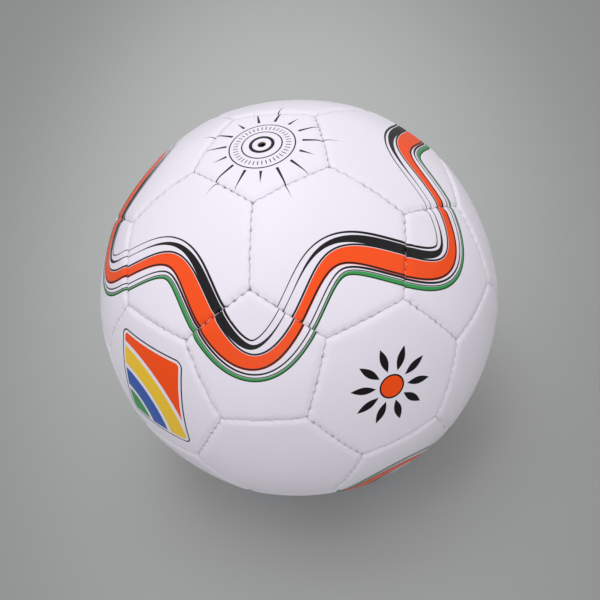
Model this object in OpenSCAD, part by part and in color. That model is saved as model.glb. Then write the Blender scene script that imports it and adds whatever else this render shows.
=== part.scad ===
// Hand-stitched volleyball: twelve pentagon and twenty hexagon cover panels with turned-in
// edges, a cloth-and-foam lining glued behind each panel, one thread along each seam, and a
// rubber bladder whose valve opens through the pentagon at the top.
// Millimetres. The origin is the centre of the ball, +Z runs out through the valve, and a
// pentagon of the upper ring faces -Y.

/* [Ball] */
// Circumference of the inflated ball over the crowns of its panels
circumference = 660; // [560:1:720]

/* [Cover] */
// Thickness of the synthetic leather skin
skin_t = 1.3; // [0.9:0.1:1.8]
// Thickness of the cloth-and-foam lining behind the skin
lining_t = 3.1; // [2.4:0.1:4.0]
// Glue line between the skin and its lining
glue_gap = 0.1; // [0.05:0.05:0.2]
// Gap between two neighbouring panels where their turned-in edges meet
seam_gap = 0.1; // [0.05:0.05:0.3]
// Width over which a panel's edge rolls down into the seam
edge_roll = 2.5; // [1.5:0.1:3.0]

/* [Stitching] */
// Diameter of the waxed stitching thread
thread_d = 0.7; // [0.5:0.1:1.0]
// Room between the thread and the rolled edges that it lies between
thread_fit = 0.05; // [0.03:0.01:0.1]

/* [Bladder] */
// Thickness of the rubber bladder's wall
bladder_t = 0.7; // [0.5:0.1:1.2]
// Room between the bladder and the linings
bladder_fit = 0.2; // [0.1:0.05:0.4]
// Diameter of the reinforcing patch round the valve
patch_d = 40; // [30:1:46]
// Thickness of the reinforcing patch
patch_t = 0.6; // [0.4:0.1:1.0]

/* [Valve] */
// Diameter of the inflating needle that the valve takes
needle_d = 2.0; // [1.6:0.1:2.4]
// Room round the needle in its guide
needle_fit = 0.03; // [0.02:0.01:0.05]
// Depth of the needle's guide below the top of the core
needle_depth = 7; // [5:0.5:8]
// Wall of the core round the needle's guide
core_wall = 0.77; // [0.6:0.01:1.2]
// Length of the core's wide head
core_head = 8.5; // [8.5:0.5:11]
// Length of the core's narrow nose
core_nose = 5.5; // [4:0.5:7]
// Diameter of the core's nose
nose_d = 2.6; // [2.2:0.1:3.0]
// Thickness of the slit that closes behind the needle
slit_t = 0.1; // [0.08:0.02:0.2]
// Room round the core in the valve's body
core_fit = 0.05; // [0.03:0.01:0.1]
// Depth of the core's top below the top of the valve's body
core_recess = 0.3; // [0:0.1:1]
// Wall of the valve's body round the core
stem_wall = 2.15; // [1.6:0.05:3]
// Length of the valve's body below the cover
stem_length = 18; // [16:0.5:24]
// Diameter of the flange that bonds the valve to the bladder
flange_d = 26; // [20:1:32]
// Thickness of that flange
flange_t = 1.6; // [1.0:0.1:2.4]
// Room round the core in the hole of the cover
cover_hole_fit = 0.2; // [0.1:0.05:0.4]
// Room round the valve's body in the lining, the patch and the bladder
stem_fit = 0.2; // [0.1:0.05:0.4]

/* [Hidden] */
$fn = 96;

// Layers, from the crown of a panel inwards
ball_r = circumference / (2 * PI);
lining_r = ball_r - skin_t - glue_gap;
cover_in_r = lining_r - lining_t;
bladder_r = cover_in_r - bladder_fit;
bladder_in_r = bladder_r - bladder_t;

// Turned-in edges: the skin, the pocket behind it and the lining share one seam plane
skin_inset = seam_gap / 2;
pocket_inset = skin_inset + skin_t;
lining_inset = pocket_inset + glue_gap;
// An edge rolls over in two bevels, which leave the skin no thinner than the least wall
least_wall = 0.4;
steep_angle = 22.5;
roll = min(edge_roll, (skin_t - least_wall) / (1 - cos(2 * steep_angle)));
roll_knee = roll * (1 - cos(2 * steep_angle));
// Three panels leave a small pit at each corner, just past the knees of their rolled edges
pit_room = 0.15;
half_corner_angle = 54;
pit_r = (skin_inset + roll_knee) / sin(half_corner_angle) + pit_room;
// The thread lies in the groove where the two steep bevels leave it room
thread_lift = (thread_d / 2 + thread_fit - skin_inset * cos(steep_angle)) / sin(steep_angle);
thread_r = ball_r - roll + thread_lift;

// The solid with twelve pentagons and twenty hexagons, for an edge of length 1
corner_distance = sqrt(58 + 18 * sqrt(5)) / 4;
pentagon_distance = sqrt((125 + 41 * sqrt(5)) / 10) / 2;
hexagon_distance = sqrt(3) / 4 * (3 + sqrt(5));
// Angle at the ball's centre from the middle of a panel to the middle of its edge
pentagon_reach = atan(1 / (2 * tan(36)) / pentagon_distance);
hexagon_reach = atan(sqrt(3) / 2 / hexagon_distance);
// Angle at the ball's centre from the middle of a panel to its corners
pentagon_corner = acos(pentagon_distance / corner_distance);
hexagon_corner = acos(hexagon_distance / corner_distance);
// Half the angle that an edge spans at the ball's centre
half_edge = asin(1 / (2 * corner_distance));
// Angle from a pentagon to the next pentagon, and to the hexagons in rings below the top one
next_pentagon = atan(2);
crown_ring = pentagon_reach + hexagon_reach;
middle_ring = crown_ring + 2 * hexagon_reach;

// Each panel: name, number of sides, angle down from +Z, direction round Z, turn of its first
// edge, and the edges that it sews to another hexagon
front_angle = -90;
under_angle = 180;
fifth_angle = 360 / 5;
sixth_angle = 360 / 6;
panels = concat(
    [["valve_pentagon", 5, 0, front_angle + fifth_angle / 2, 0, []]],
    ring("upper_pentagon", 5, next_pentagon, front_angle, 0, []),
    ring("lower_pentagon", 5, under_angle - next_pentagon, front_angle + fifth_angle / 2, under_angle, []),
    [["base_pentagon", 5, under_angle, front_angle, under_angle, []]],
    ring("crown_hexagon", 6, crown_ring, front_angle + fifth_angle / 2, 0, [0, 2]),
    ring("upper_hexagon", 6, middle_ring, front_angle + fifth_angle / 2, 0, [1, 5]),
    ring("lower_hexagon", 6, under_angle - middle_ring, front_angle, 0, [0]),
    ring("base_hexagon", 6, under_angle - crown_ring, front_angle, 0, [1])
);
function ring(name, sides, down, round, turn, seams) =
    [for (k = [0 : 4]) [str(name, "_", k + 1), sides, down, round + k * fifth_angle, turn, seams]];
function panel_name(panel) = panel[0];
function panel_sides(panel) = panel[1];
function hexagon_seams(panel) = panel[5];
function is_valve(panel) = panel_name(panel) == "valve_pentagon";
function reach(sides) = sides == 5 ? pentagon_reach : hexagon_reach;
function corner_angle(sides) = sides == 5 ? pentagon_corner : hexagon_corner;

// Valve, from the underside of the cover down
core_d = needle_d + 2 * needle_fit + 2 * core_wall;
core_bore_d = core_d + 2 * core_fit;
stem_d = core_bore_d + 2 * stem_wall;
cover_hole_d = core_d + 2 * cover_hole_fit;
stem_hole_d = stem_d + 2 * stem_fit;
stem_top = sqrt(pow(ball_r - skin_t, 2) - pow(stem_d / 2, 2)) - glue_gap;
stem_bottom = stem_top - stem_length;
core_top = stem_top - core_recess;
core_shoulder = core_top - core_head;
core_bottom = core_shoulder - core_nose;
flange_r = bladder_in_r - glue_gap;
patch_r = cover_in_r + patch_t;

past = 1;
past_angle = 3;
skin_colour = [0.92, 0.90, 0.95];
lining_colour = [0.86, 0.80, 0.66];
thread_colour = [0.83, 0.81, 0.80];
rubber_colour = [0.10, 0.09, 0.10];

// Places a shape that is built round +Z on a panel's own axis
module at_panel(panel) {
    rotate([0, panel[2], panel[3]]) rotate([0, 0, panel[4]]) children();
}

// Turns a shape so that its XY plane is the seam plane of the edge in a given direction,
// its +Z side is outside the panel, and the middle of the edge lies on -X
module at_edge(sides, direction) {
    rotate([0, 90 + reach(sides), direction]) children();
}

// A ball turned so that its poles and its closing edge stay clear of the panel on +Z
module panel_ball(radius) {
    rotate([0, 90, 0]) sphere(radius);
}

// All that lies beyond one seam plane, drawn in from it by an inset
module beyond_seam(inset) {
    translate([-ball_r - past, -ball_r - past, -inset]) cube(2 * (ball_r + past));
}

// The block of one panel round +Z, between two radii and inside all its seam planes
module panel_block(sides, inner_r, outer_r, inset) {
    difference() {
        panel_ball(outer_r);
        panel_ball(inner_r);
        for (k = [0 : sides - 1]) at_edge(sides, k * 360 / sides) beyond_seam(inset);
    }
}

// The pit at the corner that follows the edge in a given direction
module corner_pit(sides, direction) {
    rotate([0, corner_angle(sides), direction + 180 / sides]) cylinder(h = ball_r + past, r = pit_r);
}

// What the rolled edge takes off along one seam: two bevels round the seam's own axis
module edge_groove() {
    half_groove = half_edge + past_angle;
    steepness = 1 / tan(steep_angle);
    rotate([0, 0, 180 - half_groove]) rotate_extrude(angle = 2 * half_groove) polygon([
        [ball_r + past, past],
        [ball_r - roll - steepness * (past + skin_inset), past],
        [ball_r - roll_knee, -skin_inset - roll_knee],
        [ball_r + past, -skin_inset - roll - steepness * past]
    ]);
}

// The block of a skin with pits at its corners and its first edges rolled over, one by one
module rolled_block(sides, edges) {
    difference() {
        if (edges > 1) {
            rolled_block(sides, edges - 1);
        } else {
            difference() {
                panel_block(sides, cover_in_r, ball_r, skin_inset);
                for (k = [1 : sides]) corner_pit(sides, k * 360 / sides);
            }
        }
        at_edge(sides, edges * 360 / sides) edge_groove();
    }
}

// A skin: a crowned face whose edges roll over and turn in as flanges, as deep as the lining
module skin(sides) {
    difference() {
        rolled_block(sides, sides);
        panel_block(sides, cover_in_r - past, ball_r - skin_t, pocket_inset);
    }
}

module cover_panel(panel) {
    color(skin_colour) at_panel(panel) difference() {
        skin(panel_sides(panel));
        if (is_valve(panel)) cylinder(h = ball_r + past, d = cover_hole_d);
    }
}

module lining(sides) {
    panel_block(sides, cover_in_r, lining_r, lining_inset);
}

// The linings of all plain panels with a given number of sides
module linings(sides) {
    color(lining_colour)
        for (panel = panels)
            if (panel_sides(panel) == sides && !is_valve(panel)) at_panel(panel) lining(sides);
}

// The lining of the valve's panel, with a hole for the valve and a recess for the patch
module valve_lining() {
    color(lining_colour) at_panel(panels[0]) difference() {
        lining(5);
        cylinder(h = ball_r, d = stem_hole_d);
        intersection() {
            cylinder(h = ball_r, d = patch_d + 2 * stem_fit);
            panel_ball(patch_r);
        }
    }
}

// One seam's thread, in the groove between two panels, short of the corners at both ends
module seam_thread(sides, direction) {
    half_thread = half_edge - asin(thread_d / thread_r);
    at_edge(sides, direction) rotate([0, 0, 180 - half_thread])
        rotate_extrude(angle = 2 * half_thread) translate([thread_r, 0]) circle(d = thread_d);
}

module pentagon_seam_thread() {
    color(thread_colour)
        for (panel = panels)
            if (panel_sides(panel) == 5)
                at_panel(panel) for (k = [0 : 4]) seam_thread(5, k * fifth_angle);
}

module hexagon_seam_thread() {
    color(thread_colour)
        for (panel = panels)
            at_panel(panel) for (k = hexagon_seams(panel)) seam_thread(6, k * sixth_angle);
}

module bladder() {
    color(rubber_colour) difference() {
        panel_ball(bladder_r);
        panel_ball(bladder_in_r);
        cylinder(h = ball_r, d = stem_hole_d);
    }
}

module valve_patch() {
    color(lining_colour) difference() {
        intersection() {
            cylinder(h = ball_r, d = patch_d);
            panel_ball(patch_r - glue_gap);
        }
        panel_ball(cover_in_r);
        cylinder(h = ball_r, d = stem_hole_d);
    }
}

// The moulded rubber body: a stem with a stepped bore, and a flange under the bladder's wall
module valve_body() {
    color(rubber_colour) difference() {
        union() {
            translate([0, 0, stem_bottom]) cylinder(h = stem_length, d = stem_d);
            difference() {
                intersection() {
                    cylinder(h = ball_r, d = flange_d);
                    panel_ball(flange_r);
                }
                panel_ball(flange_r - flange_t);
            }
        }
        translate([0, 0, core_shoulder - core_fit]) cylinder(h = ball_r, d = core_bore_d);
        translate([0, 0, stem_bottom - past]) cylinder(h = ball_r, d = nose_d + 2 * core_fit);
    }
}

// The rubber core: a head with the needle's guide, and a nose slit through its middle
module valve_core() {
    color(rubber_colour) difference() {
        union() {
            translate([0, 0, core_shoulder]) cylinder(h = core_head, d = core_d);
            translate([0, 0, core_bottom]) cylinder(h = core_nose + past, d = nose_d);
        }
        translate([0, 0, core_top - needle_depth])
            cylinder(h = needle_depth + past, d = needle_d + 2 * needle_fit);
        translate([-needle_d / 2, -slit_t / 2, core_bottom - past])
            cube([needle_d, slit_t, core_top - needle_depth - core_bottom + 2 * past]);
    }
}

for (panel = panels)
    cover_panel(panel);
valve_lining();
linings(5);  // pentagon_linings
linings(6);  // hexagon_linings
pentagon_seam_thread();
hexagon_seam_thread();
bladder();
valve_patch();
valve_body();
valve_core();
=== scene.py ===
import bpy
import math
import numpy as np
from mathutils import Matrix, Vector


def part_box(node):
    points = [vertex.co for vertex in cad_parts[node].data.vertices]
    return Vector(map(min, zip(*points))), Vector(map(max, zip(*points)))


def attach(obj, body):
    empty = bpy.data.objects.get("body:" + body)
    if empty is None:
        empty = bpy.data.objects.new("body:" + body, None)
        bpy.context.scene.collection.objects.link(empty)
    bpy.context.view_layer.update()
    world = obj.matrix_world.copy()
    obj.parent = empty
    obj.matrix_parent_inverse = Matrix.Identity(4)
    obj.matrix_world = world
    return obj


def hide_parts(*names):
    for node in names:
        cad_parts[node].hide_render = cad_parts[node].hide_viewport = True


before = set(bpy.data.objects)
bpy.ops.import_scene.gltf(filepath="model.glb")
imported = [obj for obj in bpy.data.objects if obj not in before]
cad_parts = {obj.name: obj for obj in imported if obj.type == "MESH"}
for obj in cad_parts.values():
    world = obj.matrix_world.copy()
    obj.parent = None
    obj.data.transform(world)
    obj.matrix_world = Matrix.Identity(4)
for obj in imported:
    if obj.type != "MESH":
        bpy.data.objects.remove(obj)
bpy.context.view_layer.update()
print("frame loaded with", len(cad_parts), "nodes")

mm = 0.001
tiny = 1e-9  # keeps divisors clear of zero
ballRadius = -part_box("base_pentagon")[0][2]  # the ball lies on the middle of its lowest panel

# The ball's net: pentagons and hexagons that share one length of edge, here 1
rootFive = math.sqrt(5)
cornerDistance = math.sqrt(58 + 18 * rootFive) / 4
faceDistance = {5: math.sqrt((125 + 41 * rootFive) / 10) / 2, 6: math.sqrt(3) / 4 * (3 + rootFive)}
faceApothem = {sides: 0.5 / math.tan(math.pi / sides) for sides in (5, 6)}

# On the ball: the height of a flat panel, the angle from its middle to its sides, and a seam's length
faceHeight = {sides: ballRadius * faceDistance[sides] / cornerDistance for sides in (5, 6)}
panelReach = {sides: math.atan(faceApothem[sides] / faceDistance[sides]) for sides in (5, 6)}
seamLength = 2 * math.asin(0.5 / cornerDistance) * ballRadius

# How a panel's edge is rolled, turned in and drawn down by its stitches
panelEdge = {
    "inset": 0.03 * mm,         # half the gap between two panels
    "roll": 0.62 * mm,          # radius of the rolled edge
    "pillow": 0.75 * mm,        # how far the padding lets the edge sink, and over what width
    "pillowReach": 1.9 * mm,
    "flatness": 0.12,           # of the stiff panels: 0 is round, 1 is quite flat
    "flatRise": 2.5 * mm,       # of the mean form over the middle of a flat pentagon
    "skin": 1.3 * mm,
    "flange": [3.2 * mm, 4.3 * mm],  # depths of the turned-in edge
    "stitches": 9,
    "samples": 10,              # points along the seam for each stitch
    "sway": 0.17 * mm,          # sideways wave of the seam from stitch to stitch
    "swayReach": 1.6 * mm,
    "pull": 1.15 * mm,          # dimple where the thread goes through
    "pullWidth": 0.80 * mm,
    "pullReach": 0.42 * mm,
    "gather": 0.24 * mm,        # height of the puffs between the holes
    "gatherReach": 1.6 * mm,
    "firstRing": 0.11 * mm,     # rings get wider from the seam to the middle
    "ringGrowth": 1.27,
    "widestRing": 3.6 * mm,
    "freeMiddle": 1.32 * mm,    # no ring comes nearer to the middle
    "circles": (0.2, 0.75),     # shares of the width between which circles turn into the outline
    "backRings": [0.65 * mm, 4 * mm, 11 * mm, 20 * mm],  # the first is the turned-in edge's thickness
    "nearness": 0.01 * mm,      # of points that count as on one ring
    "weld": 0.002 * mm,         # distance of points that become one
}

# Hand work: the seams wander a little, and the ball isn't quite round. Slow and quick are the lowest and
# highest pitch of waves, in radians to a radius of the ball
handWork = {
    "seed": 11, "waves": 7,
    "slow": (2.2, 5.2), "wander": 0.42 * mm, "outOfRound": 0.13 * mm,
    "quick": (40, 110), "wobble": 0.10 * mm, "unevenSeam": 0.13 * mm, "seamReach": 2.0 * mm,
    "unevenPull": (0.75, 0.55), "pullLimits": (0.1, 2),
    "trueEnds": 40,  # the higher, the smaller the round spots at the valve and under the ball
}

valveHole = {"radius": 2.0 * mm, "lip": 0.45 * mm, "lipRings": 4}


# Small steps for building and placing pieces
def startPiece(name):
    piece = bpy.context.object
    piece.name = name
    bpy.ops.object.transform_apply(location=True, rotation=True, scale=True)
    return piece


def copyPiece(master):
    piece = master.copy()
    piece.data = master.data.copy()
    bpy.context.collection.objects.link(piece)
    return piece


def selectPieces(pieces):
    bpy.ops.object.select_all(action="DESELECT")
    for piece in pieces:
        piece.select_set(True)
    bpy.context.view_layer.objects.active = pieces[0]


def meshPlaces(piece):
    places = np.empty(len(piece.data.vertices) * 3)
    piece.data.vertices.foreach_get("co", places)
    return places.reshape(-1, 3)


def setPlaces(piece, places):
    piece.data.vertices.foreach_set("co", places.ravel())
    piece.data.update()


def addAttribute(piece, name, values):
    layer = piece.data.attributes.new(name, "FLOAT_VECTOR", "POINT")
    layer.data.foreach_set("vector", values.astype(np.float32).ravel())


def attributeValues(piece, name):
    values = np.empty(len(piece.data.vertices) * 3, dtype=np.float32)
    piece.data.attributes[name].data.foreach_get("vector", values)
    return values.reshape(-1, 3)


def rayAt(colatitude, bearing):
    colatitude, bearing = np.broadcast_arrays(colatitude, bearing)
    girth = np.sin(colatitude)
    return np.stack([girth * np.cos(bearing), girth * np.sin(bearing), np.cos(colatitude)], axis=-1)


def unitRays(places):
    return places / np.linalg.norm(places, axis=1)[:, None]


# 1 at no distance, and nearly 0 at twice the reach
def bell(distance, reach):
    return np.exp(-(distance / reach) ** 2)


def smoothStep(low, high, values):
    t = np.clip((values - low) / (high - low), 0, 1)
    return t * t * (3 - 2 * t)


# Size of the ring at a distance from the seam, as a share of the flat panel
def ringRatio(sides, offset):
    return math.tan(panelReach[sides] - offset / ballRadius) / math.tan(panelReach[sides])


# Size of the ring that becomes a circle of a given radius on the ball
def flatRatio(sides, radius):
    return math.tan(math.asin(radius / ballRadius)) * roundness(sides) / math.tan(panelReach[sides])


# From the middle to a side, as a share of the circle that lies midway between sides and corners
def roundness(sides):
    return math.sqrt(math.cos(math.pi / sides))


# Distance from the middle of a flat panel towards each of its sides
def sideApothems(places, sides):
    directions = np.arange(sides) * 2 * math.pi / sides
    return places[:, :1] * np.cos(directions) + places[:, 1:2] * np.sin(directions)


def crownOffsets(stop):
    offsets, step = [panelEdge["inset"]], panelEdge["firstRing"]
    while offsets[-1] + step < stop:
        offsets.append(offsets[-1] + step)
        step = min(step * panelEdge["ringGrowth"], panelEdge["widestRing"])
    return offsets


def addRing(ratio, drop):
    bpy.ops.mesh.extrude_edges_indiv()
    bpy.ops.transform.resize(value=(ratio, ratio, 1), center_override=(0, 0, 0))
    if drop:
        bpy.ops.transform.translate(value=(0, 0, -drop))


def addRings(points, start):
    lastRatio, lastDepth = start
    for ratio, depth in points:
        addRing(ratio / lastRatio, depth - lastDepth)
        lastRatio, lastDepth = ratio, depth


# Selects the edges of the first ring: those whose ends lie on it, in the flat panel's top
def selectRing(panel, apothem, height, sides):
    bpy.ops.object.mode_set(mode="OBJECT")
    places = meshPlaces(panel)
    apart = np.array([sideApothems(places, sides).max(axis=1) - apothem, places[:, 2] - height])
    onRing = (np.abs(apart) < panelEdge["nearness"]).all(axis=0)
    for edge in panel.data.edges:
        edge.select = bool(onRing[edge.vertices[0]] and onRing[edge.vertices[1]])
    bpy.ops.object.mode_set(mode="EDIT")


# A panel cut flat, with its edge turned in: rings of edges drawn in from the seam to the middle
def flatPanel(sides, name, hole=None):
    height = faceHeight[sides]
    cornerRadius = math.sqrt(ballRadius ** 2 - height ** 2)
    turn = (math.pi / sides - math.pi / 2) % (2 * math.pi / sides)  # a side faces +X
    bpy.ops.object.select_all(action="DESELECT")
    bpy.ops.mesh.primitive_circle_add(vertices=sides, radius=cornerRadius, location=(0, 0, height),
                                      rotation=(0, 0, turn))
    panel = startPiece(name)
    bpy.ops.object.mode_set(mode="EDIT")
    bpy.ops.mesh.select_mode(type="EDGE")
    bpy.ops.mesh.select_all(action="SELECT")
    bpy.ops.mesh.subdivide(number_cuts=panelEdge["stitches"] * panelEdge["samples"] - 1)
    first = ringRatio(sides, panelEdge["inset"])
    bpy.ops.transform.resize(value=(first, first, 1), center_override=(0, 0, 0))

    middle = hole["radius"] + 2 * hole["lip"] if hole else panelEdge["freeMiddle"]
    offsets = crownOffsets(panelReach[sides] * ballRadius - middle)
    crown = [(ringRatio(sides, offset), 0) for offset in offsets[1:]]
    if hole:
        rimRatio = flatRatio(sides, hole["radius"] + hole["lip"])
        holeRatio = flatRatio(sides, hole["radius"])
        for k in range(hole["lipRings"] + 1):
            angle = math.pi / 2 * k / hole["lipRings"]
            ratio = holeRatio + (rimRatio - holeRatio) * (1 - math.sin(angle))
            crown.append((ratio, hole["lip"] * (1 - math.cos(angle))))
        crown.append((holeRatio, panelEdge["skin"]))
    addRings(crown, (first, 0))
    if not hole:
        bpy.ops.mesh.merge(type="CENTER")

    # The turned-in edge and the back, from the same first ring
    bpy.ops.mesh.select_all(action="DESELECT")
    selectRing(panel, first * height * math.tan(panelReach[sides]), height, sides)
    pocket = ringRatio(sides, panelEdge["backRings"][0])
    back = [(first, depth) for depth in panelEdge["flange"]]
    back.append((pocket, panelEdge["flange"][-1]))
    back += [(ringRatio(sides, offset), panelEdge["skin"]) for offset in panelEdge["backRings"]]
    if hole:
        back.append((holeRatio, panelEdge["skin"]))
    addRings(back, (first, 0))
    if hole:
        bpy.ops.mesh.select_all(action="SELECT")
        bpy.ops.mesh.remove_doubles(threshold=panelEdge["weld"])
    else:
        bpy.ops.mesh.merge(type="CENTER")
    bpy.ops.mesh.select_all(action="SELECT")
    bpy.ops.mesh.normals_make_consistent(inside=False)
    bpy.ops.object.mode_set(mode="OBJECT")
    return panel


# Depth of the rolled edge under the crown, at a distance from the seam
def rollDepth(offsets):
    lean = np.clip(1 - offsets / panelEdge["roll"], 0, 1)
    sunk = panelEdge["pillow"] * bell(offsets, panelEdge["pillowReach"])
    return panelEdge["roll"] * (1 - np.sqrt(1 - lean ** 2)) + sunk


# Blows a flat panel up onto the ball and rolls its edges over. Tells how far the stitches will draw each
# point down, and which points are on the crown
def inflatePanel(panel, sides):
    places = meshPlaces(panel)
    height, reach = faceHeight[sides], panelReach[sides]
    depth = height - places[:, 2]
    apothems = sideApothems(places, sides)
    direction = apothems.argmax(axis=1) * 2 * math.pi / sides
    out = apothems.max(axis=1)
    along = places[:, 1] * np.cos(direction) - places[:, 0] * np.sin(direction)
    share = (along / np.maximum(out * math.tan(math.pi / sides), tiny) + 1) / 2
    offsets = (reach - np.arctan(apothems / height)) * ballRadius
    offset = offsets.min(axis=1)

    # The rings turn from the panel's outline into circles near the middle
    ratio = out / (height * math.tan(reach))
    outline = np.hypot(places[:, 0], places[:, 1])
    keep = smoothStep(*panelEdge["circles"], ratio)
    swell = (keep * outline + (1 - keep) * out / roundness(sides)) / np.maximum(outline, tiny)
    swollen = [places[:, 0] * swell, places[:, 1] * swell, np.full(len(places), height)]
    rays = unitRays(np.column_stack(swollen))

    # Place on the panel in millimetres, for the prints, with the distance from the seam
    arc = np.arccos(np.clip(rays[:, 2], -1, 1)) * ballRadius / mm
    bearing = np.arctan2(rays[:, 1], rays[:, 0])
    flatPlace = np.column_stack([arc * np.cos(bearing), arc * np.sin(bearing), offset / mm])

    # The seam sways from side to side; both its panels follow the same wave
    sway = panelEdge["sway"] * np.sin(2 * math.pi * panelEdge["stitches"] * share)
    sway *= bell(offset, panelEdge["swayReach"])
    sideways = rayAt(reach + math.pi / 2, direction)
    moved = unitRays(rays + sideways * (sway / ballRadius)[:, None])

    # The thread draws the edge down at each hole, most of all beside the seam
    holes = share * panelEdge["stitches"]
    fromHole = np.abs((holes + 0.5) % 1 - 0.5) * seamLength / panelEdge["stitches"]
    pull = panelEdge["pull"] * bell(fromHole, panelEdge["pullWidth"])
    pull *= bell(offset, panelEdge["pullReach"])
    gather = panelEdge["gather"] * (1 + np.cos(2 * math.pi * holes)) / 2
    pull += gather * bell(offset, panelEdge["gatherReach"])
    rolled = np.sqrt((rollDepth(offsets) ** 2).sum(axis=1))
    onCrown = depth < panelEdge["skin"] / 2
    depth = depth + np.where(onCrown, rolled, 0)
    setPlaces(panel, moved * (ballRadius - depth)[:, None])
    addAttribute(panel, "flatPlace", flatPlace)
    return np.where(onCrown, pull, 0), onCrown


# Two smooth fields of small moves that all pieces share, so that seams stay closed: a slow one for the
# ball's form and the seams' run, and a quick one from stitch to stitch. Each has three moves of place
# and one more, of depth or of the stitches' pull
def handField(draw, pitch):
    count = (handWork["waves"], 4)
    waves = draw.normal(size=(*count, 3))
    lengths = draw.uniform(*pitch, size=(*count, 1))
    waves *= lengths / np.linalg.norm(waves, axis=2)[..., None]
    return waves, draw.uniform(0, 2 * math.pi, size=count)


fieldDraw = np.random.RandomState(handWork["seed"])
slowField = handField(fieldDraw, handWork["slow"])
quickField = handField(fieldDraw, handWork["quick"])


def fieldMoves(rays, field):
    waves, phases = field
    turns = np.einsum("nk,wck->nwc", rays, waves) + phases
    return np.sin(turns).sum(axis=1) / math.sqrt(handWork["waves"])


# Depth of a stiff panel under the ball's round form, at an angle from the panel's middle. Flat faces
# meet in one edge, so both sides of a seam get the same depth. Between faces and corners lies the
# mean form
def flatDepth(sides, colatitude):
    mean = faceHeight[5] + panelEdge["flatRise"]
    return panelEdge["flatness"] * (mean - faceHeight[sides] / np.cos(colatitude))


# The places of a piece on the ball after all the small moves of hand work
def handMoves(places, offset, pull, sunk, onCrown):
    distance = np.linalg.norm(places, axis=1)[:, None]
    rays = places / distance
    slow, quick = fieldMoves(rays, slowField), fieldMoves(rays, quickField)
    beside = bell(offset, handWork["seamReach"])[:, None]
    aside = slow[:, :3] * handWork["wander"] + quick[:, :3] * handWork["wobble"] * beside
    moved = unitRays(rays + aside / ballRadius)
    standing = 1 - np.exp(-(1 - np.abs(rays[:, 2:])) * handWork["trueEnds"])
    standing *= onCrown[:, None]  # the back stays clear of the lining
    distance = distance + (slow[:, 3:] * handWork["outOfRound"] - sunk[:, None]) * standing
    base, change = handWork["unevenPull"]
    drawn = pull[:, None] * np.clip(base + change * quick[:, 3:], *handWork["pullLimits"])
    return moved * (distance - drawn - quick[:, :1] * handWork["unevenSeam"] * beside)


# Each panel's node, its sides, its angles down from the valve and round the ball, and its own turn
def panelRows():
    fifth = math.radians(72)
    front = math.radians(-90)
    nextPentagon = math.atan(2)
    crownRing = panelReach[5] + panelReach[6]
    middleRing = crownRing + 2 * panelReach[6]
    rows = [
        ("valve_pentagon", 5, 0, front + fifth / 2, 0),
        ("base_pentagon", 5, math.pi, front, math.pi),
    ]
    rings = [
        ("upper_pentagon", 5, nextPentagon, front, 0),
        ("lower_pentagon", 5, math.pi - nextPentagon, front + fifth / 2, math.pi),
        ("crown_hexagon", 6, crownRing, front + fifth / 2, 0),
        ("upper_hexagon", 6, middleRing, front + fifth / 2, 0),
        ("lower_hexagon", 6, math.pi - middleRing, front, 0),
        ("base_hexagon", 6, math.pi - crownRing, front, 0),
    ]
    for name, sides, down, around, turn in rings:
        rows += [(f"{name}_{k + 1}", sides, down, around + k * fifth, turn) for k in range(5)]
    return rows


def panelTurn(down, around, turn):
    placed = Matrix.Rotation(around, 3, "Z") @ Matrix.Rotation(down, 3, "Y")
    return placed @ Matrix.Rotation(turn, 3, "Z")


# Each panel was printed flat and sewn by hand, so its print sits a little off its neighbours'
printSlip = {"seed": 4, "turn": 1.5, "shift": 1.0 * mm}  # the turn is in degrees


def pieceName(node):
    words = node.split("_")
    return words[0] + "".join(word.capitalize() for word in words[1:])


def placePanels(masters, pulls):
    draw = np.random.RandomState(printSlip["seed"])
    made = {}
    for node, sides, down, around, turn in panelRows():
        key = "valve" if node == "valve_pentagon" else sides
        piece = copyPiece(masters[key])
        piece.name = pieceName(node) + "Skin"
        placed = np.array(panelTurn(down, around, turn))
        slipTurn = math.radians(draw.uniform(-1, 1) * printSlip["turn"])
        slip = draw.uniform(-1, 1, size=2) * printSlip["shift"] / ballRadius
        slipped = np.array(panelTurn(slip[0], 0, slipTurn) @ Matrix.Rotation(slip[1], 3, "X"))
        flat = attributeValues(piece, "flatPlace")
        colatitude = np.hypot(flat[:, 0], flat[:, 1]) * mm / ballRadius
        rays = rayAt(colatitude, np.arctan2(flat[:, 1], flat[:, 0]))
        addAttribute(piece, "printPlace", rays @ slipped.T @ placed.T)
        pull, onCrown = pulls[key]
        sunk = flatDepth(sides, colatitude)
        setPlaces(piece, handMoves(meshPlaces(piece) @ placed.T, flat[:, 2] * mm, pull, sunk, onCrown))
        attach(piece, "ball")
        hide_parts(node)
        made[node] = piece
    for master in masters.values():
        bpy.data.objects.remove(master)
    return made


masters = {
    5: flatPanel(5, "pentagonMaster"),
    6: flatPanel(6, "hexagonMaster"),
    "valve": flatPanel(5, "valveMaster", valveHole),
}
pulls = {}
for key, master in masters.items():
    pulls[key] = inflatePanel(master, 6 if key == 6 else 5)
    selectPieces([master])
    bpy.ops.object.shade_smooth()
    print("panel", key, "has", len(master.data.vertices), "points")
panels = placePanels(masters, pulls)
print("placed", len(panels), "panels")

# Stitches: a row of short thread bits for each seam, dipping into the holes at their ends
stitch = {
    "radius": 0.2 * mm,
    "depth": 1.15 * mm,     # of the bit's middle under the crown
    "dip": 0.7 * mm,        # how much deeper its ends go
    "cover": 0.85,          # share of the pitch that a bit covers
    "slant": 0.08 * mm,
    "sides": 6,
    "steps": 5,
}
# The sides on which each row's hexagons meet another hexagon, with every such seam named once
hexagonSeams = {"crown": (0, 2), "upper": (1, 5), "lower": (0,), "base": (1,)}


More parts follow.
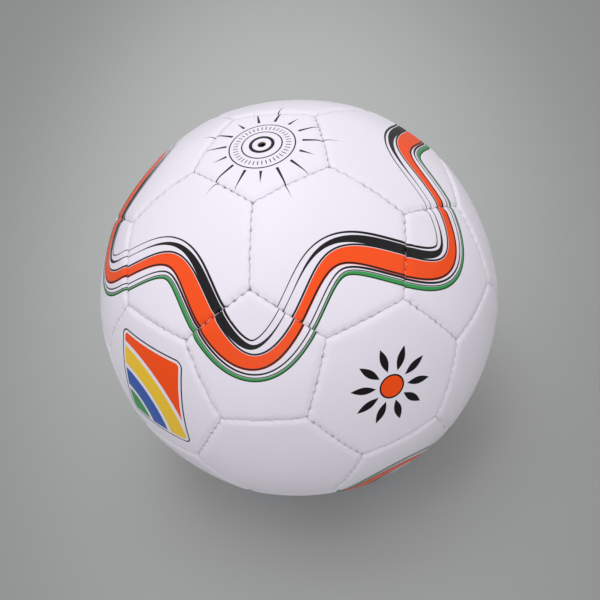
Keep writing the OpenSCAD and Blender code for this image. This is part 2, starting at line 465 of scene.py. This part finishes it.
def stitchRow():
    pitch = seamLength / panelEdge["stitches"]
    length = pitch * stitch["cover"]
    bpy.ops.object.select_all(action="DESELECT")
    bpy.ops.mesh.primitive_circle_add(vertices=stitch["sides"], radius=stitch["radius"],
                                      fill_type="NGON", location=(-length / 2, 0, 0),
                                      rotation=(0, math.pi / 2, 0))
    bit = startPiece("stitchMaster")
    bpy.ops.object.mode_set(mode="EDIT")
    bpy.ops.mesh.select_all(action="SELECT")
    ahead = {"value": (length / stitch["steps"], 0, 0)}
    for step in range(stitch["steps"]):
        bpy.ops.mesh.extrude_region_move(TRANSFORM_OT_translate=ahead)
    bpy.ops.mesh.select_all(action="SELECT")
    bpy.ops.mesh.normals_make_consistent(inside=False)
    bpy.ops.object.mode_set(mode="OBJECT")
    places = meshPlaces(bit)
    way = places[:, 0] / (length / 2)
    places[:, 1] += stitch["slant"] * way
    places[:, 2] -= stitch["dip"] * way ** 2
    setPlaces(bit, places)
    row = bit.modifiers.new("row", "ARRAY")
    row.count = panelEdge["stitches"]
    row.use_relative_offset = False
    row.use_constant_offset = True
    row.constant_offset_displace = (pitch, 0, 0)
    bpy.ops.object.modifier_apply(modifier="row")
    places = meshPlaces(bit)
    places[:, 0] -= pitch * (panelEdge["stitches"] - 1) / 2
    setPlaces(bit, places)
    return bit


# Lays the row along the seam on one side of a panel
def laySeam(row, sides, placed, side):
    direction = side * 2 * math.pi / sides
    middle = rayAt(panelReach[sides], direction)
    ahead = np.array([-math.sin(direction), math.cos(direction), 0])
    across = np.cross(middle, ahead)
    piece = copyPiece(row)
    places = meshPlaces(piece)
    angle = places[:, :1] / ballRadius
    rays = np.cos(angle) * middle + np.sin(angle) * ahead
    laid = rays * (ballRadius - stitch["depth"] + places[:, 2:]) + across * places[:, 1:2]
    sunk = flatDepth(sides, np.arccos(rays[:, 2]))
    none = np.zeros(len(laid))
    setPlaces(piece, handMoves(laid @ placed.T, none, none, sunk, none + 1))
    return piece


def layStitches(row):
    rows = {5: [], 6: []}
    for node, sides, down, around, turn in panelRows():
        seams = range(5) if sides == 5 else hexagonSeams[node.split("_")[0]]
        placed = np.array(panelTurn(down, around, turn))
        rows[sides] += [laySeam(row, sides, placed, side) for side in seams]
    made = []
    for sides, name in ((5, "pentagon"), (6, "hexagon")):
        selectPieces(rows[sides])
        bpy.ops.object.join()
        piece = bpy.context.object
        piece.name = name + "SeamStitches"
        bpy.ops.object.shade_smooth()
        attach(piece, "ball")
        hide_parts(name + "_seam_thread")
        made.append(piece)
    bpy.data.objects.remove(row)
    return made


seamStitches = layStitches(stitchRow())
print("laid stitches of", sum(len(piece.data.polygons) for piece in seamStitches), "faces")


# Small steps for building materials out of nodes
def mathStep(tree, operation, *values):
    node = tree.nodes.new("ShaderNodeMath")
    node.operation = operation
    for socket, value in zip(node.inputs, values):
        if isinstance(value, (int, float)):
            socket.default_value = value
        else:
            tree.links.new(value, socket)
    return node.outputs[0]


def mixColour(tree, mask, under, over, blend="MIX"):
    node = tree.nodes.new("ShaderNodeMix")
    node.data_type = "RGBA"
    node.blend_type = blend
    sockets = (node.inputs[0], node.inputs[6], node.inputs[7])  # the share and the two colours
    for socket, value in zip(sockets, (mask, under, over)):
        if isinstance(value, tuple):
            socket.default_value = (*value, 1)
        else:
            tree.links.new(value, socket)
    return node.outputs[2]


def attributePlace(tree, name):
    node = tree.nodes.new("ShaderNodeAttribute")
    node.attribute_name = name
    parts = tree.nodes.new("ShaderNodeSeparateXYZ")
    tree.links.new(node.outputs["Vector"], parts.inputs[0])
    return parts.outputs


def farFrom(tree, x, y):
    squared = mathStep(tree, "MULTIPLY_ADD", x, x, mathStep(tree, "MULTIPLY", y, y))
    return mathStep(tree, "SQRT", squared)


def noise(tree, scale, detail):
    place = tree.nodes.new("ShaderNodeTexCoord")
    node = tree.nodes.new("ShaderNodeTexNoise")
    node.inputs["Scale"].default_value = scale
    node.inputs["Detail"].default_value = detail
    tree.links.new(place.outputs["Object"], node.inputs["Vector"])
    return node.outputs["Fac"]


def mapRange(tree, value, low, high, toLow, toHigh):
    node = tree.nodes.new("ShaderNodeMapRange")
    for socket, number in zip(list(node.inputs)[1:5], (low, high, toLow, toHigh)):
        socket.default_value = number
    tree.links.new(value, node.inputs[0])
    return node.outputs[0]


def bump(tree, height, strength, distance, under=None):
    node = tree.nodes.new("ShaderNodeBump")
    node.inputs["Strength"].default_value = strength
    node.inputs["Distance"].default_value = distance
    tree.links.new(height, node.inputs["Height"])
    if under:
        tree.links.new(under, node.inputs["Normal"])
    return node.outputs[0]


# A noise between two levels; its pattern is its scale, its detail and the part of its range that counts
def mottle(tree, pattern, toLow, toHigh):
    scale, detail, low, high = pattern
    return mapRange(tree, noise(tree, scale, detail), low, high, toLow, toHigh)


# Bumps from a noise; their pattern is its scale, its detail, and the bumps' strength and height
def relief(tree, pattern, under=None):
    scale, detail, strength, distance = pattern
    return bump(tree, noise(tree, scale, detail), strength, distance, under)


def newMaterial(name, **sockets):
    material = bpy.data.materials.new(name)
    material.use_nodes = True
    tree = material.node_tree
    shader = tree.nodes["Principled BSDF"]
    for socket, value in sockets.items():
        shader.inputs[socket].default_value = value
    return material, tree, shader


def feedShader(tree, shader, colour, normal, roughness=None):
    tree.links.new(colour, shader.inputs["Base Color"])
    tree.links.new(normal, shader.inputs["Normal"])
    if roughness:
        tree.links.new(roughness, shader.inputs["Roughness"])


def dress(piece, material):
    piece.data.materials.clear()
    piece.data.materials.append(material)


# Prints: their inks, and the width in millimetres over which their edges fade
printEdge = {"soft": 0.14}
ink = {
    "orange": (0.93, 0.078, 0.003),
    "black": (0.004, 0.0035, 0.005),
    "green": (0.035, 0.31, 0.075),
    "blue": (0.030, 0.10, 0.42),
    "yellow": (0.90, 0.58, 0.03),
}


# 1 where a distance in millimetres is within half a width of a line's centre, with a soft edge
def lineMask(tree, distance, centre, halfWidth):
    apart = mathStep(tree, "ABSOLUTE", mathStep(tree, "SUBTRACT", distance, centre))
    inside = mathStep(tree, "SUBTRACT", halfWidth, apart)
    scaled = mathStep(tree, "MULTIPLY_ADD", inside, 1 / printEdge["soft"], 0.5)
    return mathStep(tree, "MINIMUM", mathStep(tree, "MAXIMUM", scaled, 0), 1)


def bandMask(tree, distance, start, end):
    return lineMask(tree, distance, (start + end) / 2, (end - start) / 2)


# A ribbon of strokes that waves round the valve, five times, and the same the other way up below. Its
# middle and swing are in degrees from the pole. Each stroke has its place across the ribbon in
# millimetres, half its width, the swell of that from thick to thin, its outline and its ink
strokes = {
    "lobes": 5,
    "front": -54,            # degrees round the ball at which a lobe points
    "middle": 50.5,
    "swing": 10.6,
    "flatten": 0.06,         # makes every other bend wider
    "slip": 0.75,            # of the coloured inks against the black, in widths of the outline
    "steps": 3,              # to the nearest point on the middle line
    "leastStiffness": 0.35,  # keeps those steps short inside a bend
    "lines": [
        (-10.6, 0.42, 0.22, 0, "black"),
        (-7.3, 1.25, 1.05, 0, "black"),
        (0.0, 3.3, 1.3, 0.95, "orange"),
        (6.4, 0.46, 0.16, 0, "black"),
        (9.0, 0.62, 0.34, 0.55, "green"),
    ],
}


# Angle from the nearer pole, angle round the ball, and 1 in the upper half or -1 in the lower
def ballPlace(tree):
    x, y, z = attributePlace(tree, "printPlace")
    fromPole = mathStep(tree, "ARCCOSINE", mathStep(tree, "ABSOLUTE", z))
    return fromPole, mathStep(tree, "ARCTAN2", y, x), mathStep(tree, "SIGN", z)


def lobeAngle(tree, around):
    lobes = strokes["lobes"]
    return mathStep(tree, "MULTIPLY_ADD", around, lobes, -math.radians(strokes["front"]) * lobes)


# The ribbon's middle line at an angle round the ball: its distance from the pole, its slope
# and its bend
def ribbonLine(tree, lobes, upper):
    swing, flatten, count = math.radians(strokes["swing"]), strokes["flatten"], strokes["lobes"]
    doubled = mathStep(tree, "MULTIPLY", lobes, 2)
    once = mathStep(tree, "MULTIPLY", mathStep(tree, "COSINE", lobes), upper)
    twice = mathStep(tree, "COSINE", doubled)
    wave = mathStep(tree, "MULTIPLY_ADD", twice, -flatten, once)
    bend = mathStep(tree, "MULTIPLY_ADD", twice, -4 * flatten, once)
    onceRise = mathStep(tree, "MULTIPLY", mathStep(tree, "SINE", lobes), upper)
    slope = mathStep(tree, "MULTIPLY_ADD", mathStep(tree, "SINE", doubled), -2 * flatten, onceRise)
    fromPole = mathStep(tree, "MULTIPLY_ADD", wave, -swing, math.radians(strokes["middle"]))
    slope = mathStep(tree, "MULTIPLY", slope, swing * count)
    return fromPole, slope, mathStep(tree, "MULTIPLY", bend, swing * count ** 2)


# Distance from the ribbon's middle line in millimetres, found by stepping to the nearest point on it,
# and the swell of the strokes there
def acrossRibbon(tree):
    fromPole, around, upper = ballPlace(tree)
    lobes = lobeAngle(tree, around)
    girth = mathStep(tree, "SINE", fromPole)
    girthSquared = mathStep(tree, "MULTIPLY", girth, girth)
    line, slope, bend = ribbonLine(tree, lobes, upper)
    side = mathStep(tree, "SIGN", mathStep(tree, "SUBTRACT", fromPole, line))
    ahead = 0
    for step in range(strokes["steps"]):
        apart = mathStep(tree, "SUBTRACT", line, fromPole)
        climb = mathStep(tree, "MULTIPLY", apart, slope)
        pull = mathStep(tree, "MULTIPLY_ADD", girthSquared, ahead, climb)
        straight = mathStep(tree, "MULTIPLY_ADD", slope, slope, girthSquared)
        least = mathStep(tree, "MULTIPLY", straight, strokes["leastStiffness"])
        stiffness = mathStep(tree, "MULTIPLY_ADD", apart, bend, straight)
        stiffness = mathStep(tree, "MAXIMUM", stiffness, least)
        ahead = mathStep(tree, "SUBTRACT", ahead, mathStep(tree, "DIVIDE", pull, stiffness))
        nearest = mathStep(tree, "MULTIPLY_ADD", ahead, strokes["lobes"], lobes)
        line, slope, bend = ribbonLine(tree, nearest, upper)
    apart = mathStep(tree, "SUBTRACT", line, fromPole)
    aside = mathStep(tree, "MULTIPLY", ahead, girth)
    distance = mathStep(tree, "MULTIPLY", farFrom(tree, apart, aside), ballRadius / mm)
    swell = mathStep(tree, "MULTIPLY", mathStep(tree, "SINE", nearest), upper)
    return mathStep(tree, "MULTIPLY", distance, side), swell


def printStrokes(tree, colour):
    distance, swell = acrossRibbon(tree)
    for place, half, change, outline, inkName in strokes["lines"]:
        width = mathStep(tree, "MULTIPLY_ADD", swell, change, half + outline / 2)
        printed = place + strokes["slip"] * outline
        colour = mixColour(tree, lineMask(tree, distance, printed, width), colour, ink[inkName])
        if outline:
            apart = mathStep(tree, "ABSOLUTE", mathStep(tree, "SUBTRACT", distance, place))
            colour = mixColour(tree, lineMask(tree, apart, width, outline / 2), colour, ink["black"])
    return colour


# Rings round the valve's hole in millimetres: radius and half a width, with ticks between the outer two,
# rays outside them, and the raw edge of the hole
valveRings = {
    "rings": [(16.6, 0.34), (10.1, 0.34), (5.6, 0.85)],
    "ticks": 40, "tickMiddle": 13.35, "tickReach": 1.3, "tickHalf": 0.24,
    "rays": 15, "rayHalf": 0.75,
    "rayShift": 0.5,       # in steps from ray to ray
    "rayFrom": 19.2,
    "rayTo": (33.0, 7.0),  # and how far that swings with the ribbon
    "rayLimit": 49.2,      # no ray is printed past it
    "rawEdge": 2.12, "rawColour": (0.36, 0.25, 0.19),
}


def polarPlace(tree):
    x, y = attributePlace(tree, "flatPlace")[:2]
    return farFrom(tree, x, y), mathStep(tree, "ARCTAN2", y, x)


# Angle from the nearest of a number of even directions, shifted by a share of a step
def fromSpoke(tree, bearing, count, shift=0):
    turns = mathStep(tree, "MULTIPLY_ADD", bearing, count / (2 * math.pi), shift)
    apart = mathStep(tree, "SUBTRACT", turns, mathStep(tree, "ROUND", turns))
    return mathStep(tree, "MULTIPLY", apart, 2 * math.pi / count)


def printRings(tree, colour):
    radius, bearing = polarPlace(tree)
    for ring, half in valveRings["rings"]:
        colour = mixColour(tree, lineMask(tree, radius, ring, half), colour, ink["black"])
    across = mathStep(tree, "MULTIPLY", fromSpoke(tree, bearing, valveRings["ticks"]), radius)
    ticks = mathStep(tree, "MULTIPLY", lineMask(tree, across, 0, valveRings["tickHalf"]),
                     lineMask(tree, radius, valveRings["tickMiddle"], valveRings["tickReach"]))
    colour = mixColour(tree, ticks, colour, ink["black"])
    rawEdge = lineMask(tree, radius, 0, valveRings["rawEdge"])
    return mixColour(tree, rawEdge, colour, valveRings["rawColour"])


# Rays that taper away from the rings, over the seams, and the same round the ball's lowest spot
def printRays(tree, colour):
    fromPole, bearing, upper = ballPlace(tree)
    arc = mathStep(tree, "MULTIPLY", fromPole, ballRadius / mm)
    spoke = fromSpoke(tree, bearing, valveRings["rays"], valveRings["rayShift"])
    across = mathStep(tree, "MULTIPLY", spoke, arc)
    middle, change = valveRings["rayTo"]
    low, limit = valveRings["rayFrom"], valveRings["rayLimit"]
    wave = mathStep(tree, "MULTIPLY", mathStep(tree, "COSINE", lobeAngle(tree, bearing)), upper)
    ends = mathStep(tree, "MULTIPLY_ADD", wave, change, middle)
    length = mathStep(tree, "SUBTRACT", ends, low)
    left = mathStep(tree, "DIVIDE", mathStep(tree, "SUBTRACT", ends, arc), length)
    taper = mathStep(tree, "MULTIPLY", left, valveRings["rayHalf"])
    rays = mathStep(tree, "MULTIPLY", lineMask(tree, across, 0, taper), bandMask(tree, arc, low, limit))
    return mixColour(tree, rays, colour, ink["black"])


# Badge with rounded corners, in millimetres: four bows of colour about its lower left corner
badge = {
    "half": (26, 22),  # down the panel and across it
    "corner": 4,
    "rim": 0.8,
    "margin": 1.8,
    "bows": [("green", 0, 15.5), ("blue", 18, 29), ("yellow", 31.5, 42.5), ("orange", 45, 80)],
}


def printBadge(tree, colour):
    places = attributePlace(tree, "flatPlace")
    beyond = []
    for place, half in zip(places, badge["half"]):
        apart = mathStep(tree, "SUBTRACT", mathStep(tree, "ABSOLUTE", place), half - badge["corner"])
        beyond.append(mathStep(tree, "MAXIMUM", apart, 0))
    outline = mathStep(tree, "SUBTRACT", farFrom(tree, *beyond), badge["corner"])  # 0 at the rim
    within = mathStep(tree, "LESS_THAN", outline, -badge["margin"])
    down, across = badge["half"]
    fromLow = mathStep(tree, "SUBTRACT", places[0], down)
    fromLeft = mathStep(tree, "ADD", places[1], across)
    radius = farFrom(tree, fromLow, fromLeft)
    for name, start, end in badge["bows"]:
        bow = mathStep(tree, "MULTIPLY", bandMask(tree, radius, start, end), within)
        colour = mixColour(tree, bow, colour, ink[name])
    return mixColour(tree, lineMask(tree, outline, 0, badge["rim"] / 2), colour, ink["black"])


# Rosette, in millimetres: a round middle with pointed leaves about it
rosette = {
    "middle": 5.8,
    "outline": 0.9,
    "leaves": 10,
    "leafFrom": 8.4, "leafTo": 21.5, "leafHalf": 2.05,
}


def printRosette(tree, colour):
    radius, bearing = polarPlace(tree)
    low, high = rosette["leafFrom"], rosette["leafTo"]
    across = mathStep(tree, "MULTIPLY", fromSpoke(tree, bearing, rosette["leaves"]), radius)
    way = mapRange(tree, radius, low, high, 0, math.pi)
    leaf = mathStep(tree, "MULTIPLY", mathStep(tree, "SINE", way), rosette["leafHalf"])
    reach = bandMask(tree, radius, low, high)
    leaves = mathStep(tree, "MULTIPLY", lineMask(tree, across, 0, leaf), reach)
    colour = mixColour(tree, leaves, colour, ink["black"])
    outline = lineMask(tree, radius, 0, rosette["middle"] + rosette["outline"])
    colour = mixColour(tree, outline, colour, ink["black"])
    return mixColour(tree, lineMask(tree, radius, 0, rosette["middle"]), colour, ink["orange"])


# Smooth synthetic leather: white with a faint cloud and grain, prints on top, and seams darkened by
# painted shade with some grime
leather = {
    "white": (0.835, 0.798, 0.885),
    "shade": (0.805, 0.768, 0.855),
    "cloud": (14, 3, 0.35, 0.65),
    "shine": 0.23,
    "roughness": (0.29, 0.36),
    "polish": (260, 2, 0.3, 0.7),
    # seam: colour of the painted shade, with some grime, that darkens the leather beside the seams
    "seam": (0.40, 0.36, 0.37),
    "seamReach": 0.5,           # of the painted shade and grime along the seam, in millimetres
    "seamShade": (0.0, 0.42),   # strength of the painted shade and grime, from the lightest to the darkest stretch of seam
    "wear": (220, 2, 0.35, 0.65),
    "grain": (1700, 2, 0.5, 0.16 * mm),
    "ripple": (90, 2, 0.12, 0.5 * mm),
}


def leatherMaterial(name, prints):
    material, tree, shader = newMaterial(name, **{"Specular IOR Level": leather["shine"]})
    colour = mixColour(tree, mottle(tree, leather["cloud"], 0, 1), leather["white"], leather["shade"])
    for layPrint in prints:
        colour = layPrint(tree, colour)
    # Painted shade with some grime: the colour is darkened near the seam, more on some stretches than on
    # others
    seamDistance = attributePlace(tree, "flatPlace")[2]
    beside = mapRange(tree, seamDistance, 0, leather["seamReach"], 1, 0)
    seamGrimeAndShade = mathStep(tree, "MULTIPLY", beside, mottle(tree, leather["wear"], *leather["seamShade"]))
    colour = mixColour(tree, seamGrimeAndShade, colour, leather["seam"], "MULTIPLY")
    roughness = mottle(tree, leather["polish"], *leather["roughness"])
    normal = relief(tree, leather["ripple"], relief(tree, leather["grain"]))
    feedShader(tree, shader, colour, normal, roughness)
    return material


thread = {
    "dark": (0.46, 0.44, 0.46),
    "light": (0.60, 0.58, 0.60),
    "fibre": (2600, 2, 0.3, 0.7),
    "roughness": 0.6,
    "twist": (3000, 1, 0.5, 0.05 * mm),
}


def threadMaterial():
    material, tree, shader = newMaterial("waxedThread", Roughness=thread["roughness"])
    colour = mixColour(tree, mottle(tree, thread["fibre"], 0, 1), thread["dark"], thread["light"])
    feedShader(tree, shader, colour, relief(tree, thread["twist"]))
    return material


# Each rubber has the dark and the light of its cloud, and the roughness of its smoothest spots
rubber = {
    "valveRubber": ((0.012, 0.011, 0.012), (0.028, 0.025, 0.026), 0.45),
    "bladderRubber": ((0.020, 0.018, 0.020), (0.035, 0.032, 0.034), 0.55),
    "cloud": (400, 3),
    "polish": (900, 2, 0.3, 0.7),
    "rougher": 0.12,
    "grain": (1800, 2, 0.15, 0.05 * mm),
}


def rubberMaterial(name):
    material, tree, shader = newMaterial(name)
    dark, light, smooth = rubber[name]
    colour = mixColour(tree, noise(tree, *rubber["cloud"]), dark, light)
    roughness = mottle(tree, rubber["polish"], smooth, smooth + rubber["rougher"])
    feedShader(tree, shader, colour, relief(tree, rubber["grain"]), roughness)
    return material


# Each cloth has its colour and the scale of its weave
cloth = {
    "liningCloth": ((0.70, 0.60, 0.40), 900),
    "patchCloth": ((0.45, 0.40, 0.29), 1200),
    "paintedHollowShade": 0.8,             # how much of the colour is left in the painted shade between the threads
    "uneven": 0.4,
    "roughness": 0.9,
    "relief": (0.4, 0.2 * mm),  # strength and height
}


def clothMaterial(name):
    material, tree, shader = newMaterial(name, Roughness=cloth["roughness"])
    colour, weave = cloth[name]
    place = tree.nodes.new("ShaderNodeTexCoord")
    threads = []
    for direction in ("X", "Y", "Z"):
        wave = tree.nodes.new("ShaderNodeTexWave")
        wave.bands_direction = direction
        wave.inputs["Scale"].default_value = weave
        wave.inputs["Distortion"].default_value = cloth["uneven"]
        tree.links.new(place.outputs["Object"], wave.inputs["Vector"])
        threads.append(wave.outputs["Fac"])
    height = mathStep(tree, "ADD", mathStep(tree, "ADD", threads[0], threads[1]), threads[2])
    # Painted shade: the colour is darker where the weave runs low, in the hollows between threads
    dark = tuple(cloth["paintedHollowShade"] * part for part in colour)
    woven = mixColour(tree, mapRange(tree, height, 0, len(threads), 0, 1), dark, colour)
    feedShader(tree, shader, woven, bump(tree, height, *cloth["relief"]))
    return material


def dressBall():
    plain = leatherMaterial("printedLeather", [printRays, printStrokes])
    ringed = leatherMaterial("valveLeather", [printRays, printRings])
    badged = leatherMaterial("badgeLeather", [printStrokes, printBadge])
    flowered = leatherMaterial("rosetteLeather", [printStrokes, printRosette])
    special = {
        "valve_pentagon": ringed,
        "upper_hexagon_5": badged, "lower_hexagon_3": badged,
        "upper_hexagon_1": flowered, "upper_hexagon_3": flowered, "lower_hexagon_5": flowered,
    }
    for node, piece in panels.items():
        dress(piece, special.get(node, plain))
    waxedThread = threadMaterial()
    for piece in seamStitches:
        dress(piece, waxedThread)
    valveRubber = rubberMaterial("valveRubber")
    bladderRubber = rubberMaterial("bladderRubber")
    lining = clothMaterial("liningCloth")
    patch = clothMaterial("patchCloth")
    inside = {
        "valve_core": valveRubber, "valve_body": valveRubber, "bladder": bladderRubber,
        "valve_lining": lining, "pentagon_linings": lining, "hexagon_linings": lining,
        "valve_patch": patch,
    }
    for node, material in inside.items():
        dress(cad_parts[node], material)


dressBall()
print("dressed the ball")

# Studio: a floor under the ball with a painted pool of light, pale in the middle and darker outwards,
# soft lamps and the camera at the photograph's angle
studio = {
    "floorSize": 40.0,
    "floorPaintedPoolMiddle": (0.435, 0.453, 0.443),
    "floorPaintedPoolEdge": (0.220, 0.229, 0.224),
    "paintedPoolReach": (0.178, 0.261),  # of the painted pool of light in the middle, across the picture and up it
    "paintedPoolAhead": 0.064,           # middle of the painted pool, from the spot behind the ball's middle
    "paintedPoolFade": 3,                # the higher, the steeper the painted pool fades from pale to dark
    "floorRoughness": 0.9,
    "world": (0.99, 0.985, 1.0),
    "worldStrength": 0.89,
}
# Each lamp: azimuth and elevation as the camera's, distance, width, power and colour
lamps = {
    "keyLamp": (6, 72, 4.8, 1.2, 14.0, (1, 1, 1)),
    "topLamp": (195, 78, 4.8, 3.2, 34.0, (1, 1, 1)),
    "rightLamp": (85, 20, 4.8, 3.0, 8.0, (1, 0.88, 0.76)),
    "lowLamp": (0, 6, 4.8, 3.5, 31.0, (0.97, 0.94, 1)),
}
photoCamera = {
    "azimuth": 17.455, "elevation": 42.845, "roll": -13.561,
    "distance": 7.56,               # in radii of the ball
    "lens": 89.3, "sensor": 36,
    "nearest": 0.01,
    "ballPixel": (299.13, 297.33),  # the ball's middle in the photograph
    "imageSize": 600,
}


def fromAngles(azimuth, elevation):
    a, e = math.radians(azimuth), math.radians(elevation)
    return Vector((math.sin(a) * math.cos(e), -math.cos(a) * math.cos(e), math.sin(e)))


def cameraAxes():
    back = fromAngles(photoCamera["azimuth"], photoCamera["elevation"])
    level = Vector((0, 0, 1)).cross(back).normalized()
    rise = back.cross(level)
    roll = math.radians(photoCamera["roll"])
    right = level * math.cos(roll) + rise * math.sin(roll)
    return right, rise * math.cos(roll) - level * math.sin(roll), back


# How far a point on the floor is from the middle of the painted pool of light, along one direction
def floorAxis(tree, middle, direction, reach):
    place = tree.nodes.new("ShaderNodeTexCoord")
    node = tree.nodes.new("ShaderNodeVectorMath")
    node.operation = "DOT_PRODUCT"
    tree.links.new(place.outputs["Object"], node.inputs[0])
    node.inputs[1].default_value = direction / reach
    return mathStep(tree, "SUBTRACT", node.outputs["Value"], middle.dot(direction) / reach)


def makeFloor():
    right, up, back = cameraAxes()
    away = -Vector((back.x, back.y, 0)).normalized()
    behind = ballRadius / math.tan(math.radians(photoCamera["elevation"]))
    middle = away * (behind + studio["paintedPoolAhead"])
    right, up = Vector((right.x, right.y, 0)), Vector((up.x, up.y, 0))
    bpy.ops.object.select_all(action="DESELECT")
    bpy.ops.mesh.primitive_plane_add(size=studio["floorSize"], location=(0, 0, -ballRadius))
    floor = startPiece("studioFloor")
    material, tree, shader = newMaterial("floorPaperPaintedPool", Roughness=studio["floorRoughness"])
    across = floorAxis(tree, middle, right, studio["paintedPoolReach"][0])
    along = floorAxis(tree, middle, up, studio["paintedPoolReach"][1])
    # Painted pool of light: the floor's colour is pale round a spot just behind the ball and fades
    # darker outwards
    fade = mathStep(tree, "POWER", farFrom(tree, across, along), studio["paintedPoolFade"])
    pale = mathStep(tree, "EXPONENT", mathStep(tree, "MULTIPLY", fade, -1))
    colour = mixColour(tree, pale, studio["floorPaintedPoolEdge"], studio["floorPaintedPoolMiddle"])
    tree.links.new(colour, shader.inputs["Base Color"])
    dress(floor, material)


def makeLamps():
    for name, (azimuth, elevation, distance, width, power, colour) in lamps.items():
        bpy.ops.object.light_add(type="AREA", location=fromAngles(azimuth, elevation) * distance)
        lamp = bpy.context.object
        lamp.name = name
        lamp.data.shape = "DISK"
        lamp.data.size = width
        lamp.data.energy = power
        lamp.data.color = colour
        lamp.rotation_euler = lamp.location.to_track_quat("Z", "Y").to_euler()
    world = bpy.data.worlds.new("studioWorld")
    bpy.context.scene.world = world
    world.use_nodes = True
    background = world.node_tree.nodes["Background"]
    background.inputs["Color"].default_value = (*studio["world"], 1)
    background.inputs["Strength"].default_value = studio["worldStrength"]


def makeCamera():
    right, up, back = cameraAxes()
    bpy.ops.object.camera_add(location=back * photoCamera["distance"] * ballRadius)
    camera = bpy.context.object
    camera.name = "photoCamera"
    camera.rotation_euler = Matrix((right, up, back)).transposed().to_euler()
    camera.data.lens = photoCamera["lens"]
    camera.data.sensor_width = photoCamera["sensor"]
    size, (column, row) = photoCamera["imageSize"], photoCamera["ballPixel"]
    camera.data.shift_x = (size / 2 - column) / size
    camera.data.shift_y = (row - size / 2) / size
    camera.data.clip_start = photoCamera["nearest"]
    bpy.context.scene.camera = camera


makeFloor()
makeLamps()
makeCamera()
bpy.context.scene.view_settings.view_transform = "Standard"
print("studio is set")
